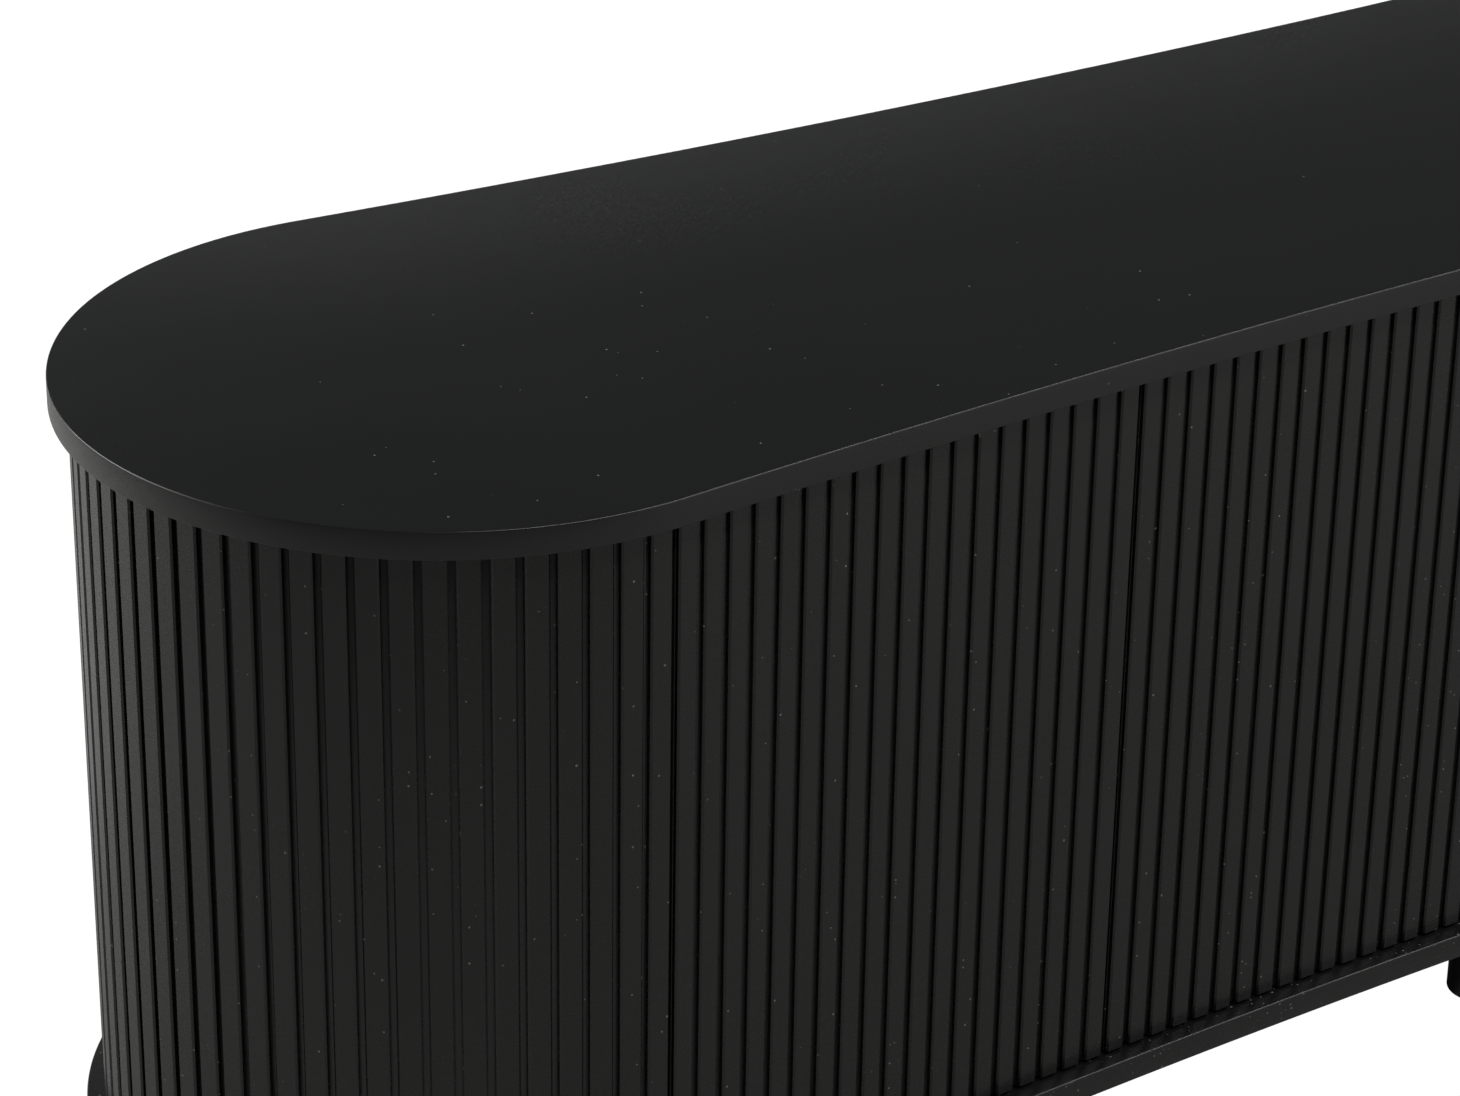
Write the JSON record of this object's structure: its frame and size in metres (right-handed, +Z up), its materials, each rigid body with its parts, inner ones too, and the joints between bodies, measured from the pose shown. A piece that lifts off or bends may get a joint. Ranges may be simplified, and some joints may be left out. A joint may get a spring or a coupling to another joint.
{
  "type": "sideboard",
  "caption": "Low black sideboard with round slatted ends and a gently waisted slatted front, hinged push-to-open doors, shelves inside and short round feet.",
  "frame": {"origin": "on the floor under the centre of the sideboard", "axes": "+X along the length, front towards -Y, +Z up"},
  "size_m": [1.7996, 0.45, 0.545],
  "materials": {
    "black_lacquer": "satin black lacquer on fibreboard, slats and slabs",
    "black_board": "matt black melamine-faced board, edges banded",
    "bent_ply": "raw bent plywood and battens inside the closed ends",
    "back_board": "black faced hardboard",
    "zinc_steel": "zinc-plated steel",
    "pin_steel": "ground steel pin",
    "black_screw": "black oxide screw",
    "nylon": "natural nylon",
    "latch_plastic": "moulded dark grey latch housing",
    "plunger_plastic": "moulded grey plunger with a buffer tip",
    "beech": "fluted beech dowel",
    "foot_plastic": "moulded black foot, fine texture",
    "felt": "black felt glide"
  },
  "bodies": {
    "carcase": {"top": "black_lacquer", "base": "black_lacquer", "left_end_shell": "black_lacquer", "left_end_slats": "black_lacquer", "left_upright": "black_board", "left_shelf": "black_board", "left_back_panel": "back_board", "left_end_formers": "bent_ply", "left_feet": "foot_plastic", "right_end_shell": "black_lacquer", "right_end_slats": "black_lacquer", "right_upright": "black_board", "right_shelf": "black_board", "right_back_panel": "back_board", "right_end_formers": "bent_ply", "right_feet": "foot_plastic", "middle_upright": "black_board", "middle_feet": "foot_plastic", "end_battens": "bent_ply", "foot_glides": "felt", "foot_studs": "zinc_steel", "shelf_pins": "zinc_steel", "dowels": "beech", "base_screws": "zinc_steel", "back_panel_screws": "black_screw", "top_hinge_leaves": "zinc_steel", "bottom_hinge_leaves": "zinc_steel", "hinge_pins": "pin_steel", "hinge_washers": "nylon", "slab_leaf_screws": "zinc_steel", "latch_screws": "zinc_steel", "outer_left_latch_housing": "latch_plastic", "inner_left_latch_housing": "latch_plastic", "outer_right_latch_housing": "latch_plastic", "inner_right_latch_housing": "latch_plastic"},
    "outer_left_door": {"outer_left_door_core": "black_lacquer", "outer_left_door_slats": "black_lacquer", "outer_left_door_leaves": "zinc_steel", "outer_left_door_leaf_screws": "zinc_steel", "outer_left_strike_plate": "zinc_steel"},
    "outer_left_plunger": {"outer_left_latch_plunger": "plunger_plastic"},
    "inner_left_door": {"inner_left_door_core": "black_lacquer", "inner_left_door_slats": "black_lacquer", "inner_left_door_leaves": "zinc_steel", "inner_left_door_leaf_screws": "zinc_steel", "inner_left_strike_plate": "zinc_steel"},
    "inner_left_plunger": {"inner_left_latch_plunger": "plunger_plastic"},
    "outer_right_door": {"outer_right_door_core": "black_lacquer", "outer_right_door_slats": "black_lacquer", "outer_right_door_leaves": "zinc_steel", "outer_right_door_leaf_screws": "zinc_steel", "outer_right_strike_plate": "zinc_steel"},
    "outer_right_plunger": {"outer_right_latch_plunger": "plunger_plastic"},
    "inner_right_door": {"inner_right_door_core": "black_lacquer", "inner_right_door_slats": "black_lacquer", "inner_right_door_leaves": "zinc_steel", "inner_right_door_leaf_screws": "zinc_steel", "inner_right_strike_plate": "zinc_steel"},
    "inner_right_plunger": {"inner_right_latch_plunger": "plunger_plastic"}
  },
  "joints": [
    {"name": "outer_left_door_hinge", "type": "hinge", "parent": "carcase", "child": "outer_left_door", "pos_m": [-0.65085, -0.20808, 0.2985], "axis": [0, 0, -1], "range_deg": [0, 100]},
    {"name": "outer_left_plunger_push", "type": "slide", "parent": "carcase", "child": "outer_left_plunger", "axis": [0, 1, 0], "range_m": [0, 0.0025], "stiffness_N_per_m": 1200},
    {"name": "inner_left_door_hinge", "type": "hinge", "parent": "carcase", "child": "inner_left_door", "pos_m": [-0.0056, -0.1794, 0.2985], "axis": [0, 0, 1], "range_deg": [0, 85]},
    {"name": "inner_left_plunger_push", "type": "slide", "parent": "carcase", "child": "inner_left_plunger", "axis": [0, 1, 0], "range_m": [0, 0.0025], "stiffness_N_per_m": 1200},
    {"name": "outer_right_door_hinge", "type": "hinge", "parent": "carcase", "child": "outer_right_door", "pos_m": [0.65085, -0.20808, 0.2985], "axis": [0, 0, 1], "range_deg": [0, 100]},
    {"name": "outer_right_plunger_push", "type": "slide", "parent": "carcase", "child": "outer_right_plunger", "axis": [0, 1, 0], "range_m": [0, 0.0025], "stiffness_N_per_m": 1200},
    {"name": "inner_right_door_hinge", "type": "hinge", "parent": "carcase", "child": "inner_right_door", "pos_m": [0.0056, -0.1794, 0.2985], "axis": [0, 0, -1], "range_deg": [0, 85]},
    {"name": "inner_right_plunger_push", "type": "slide", "parent": "carcase", "child": "inner_right_plunger", "axis": [0, 1, 0], "range_m": [0, 0.0025], "stiffness_N_per_m": 1200}
  ]
}
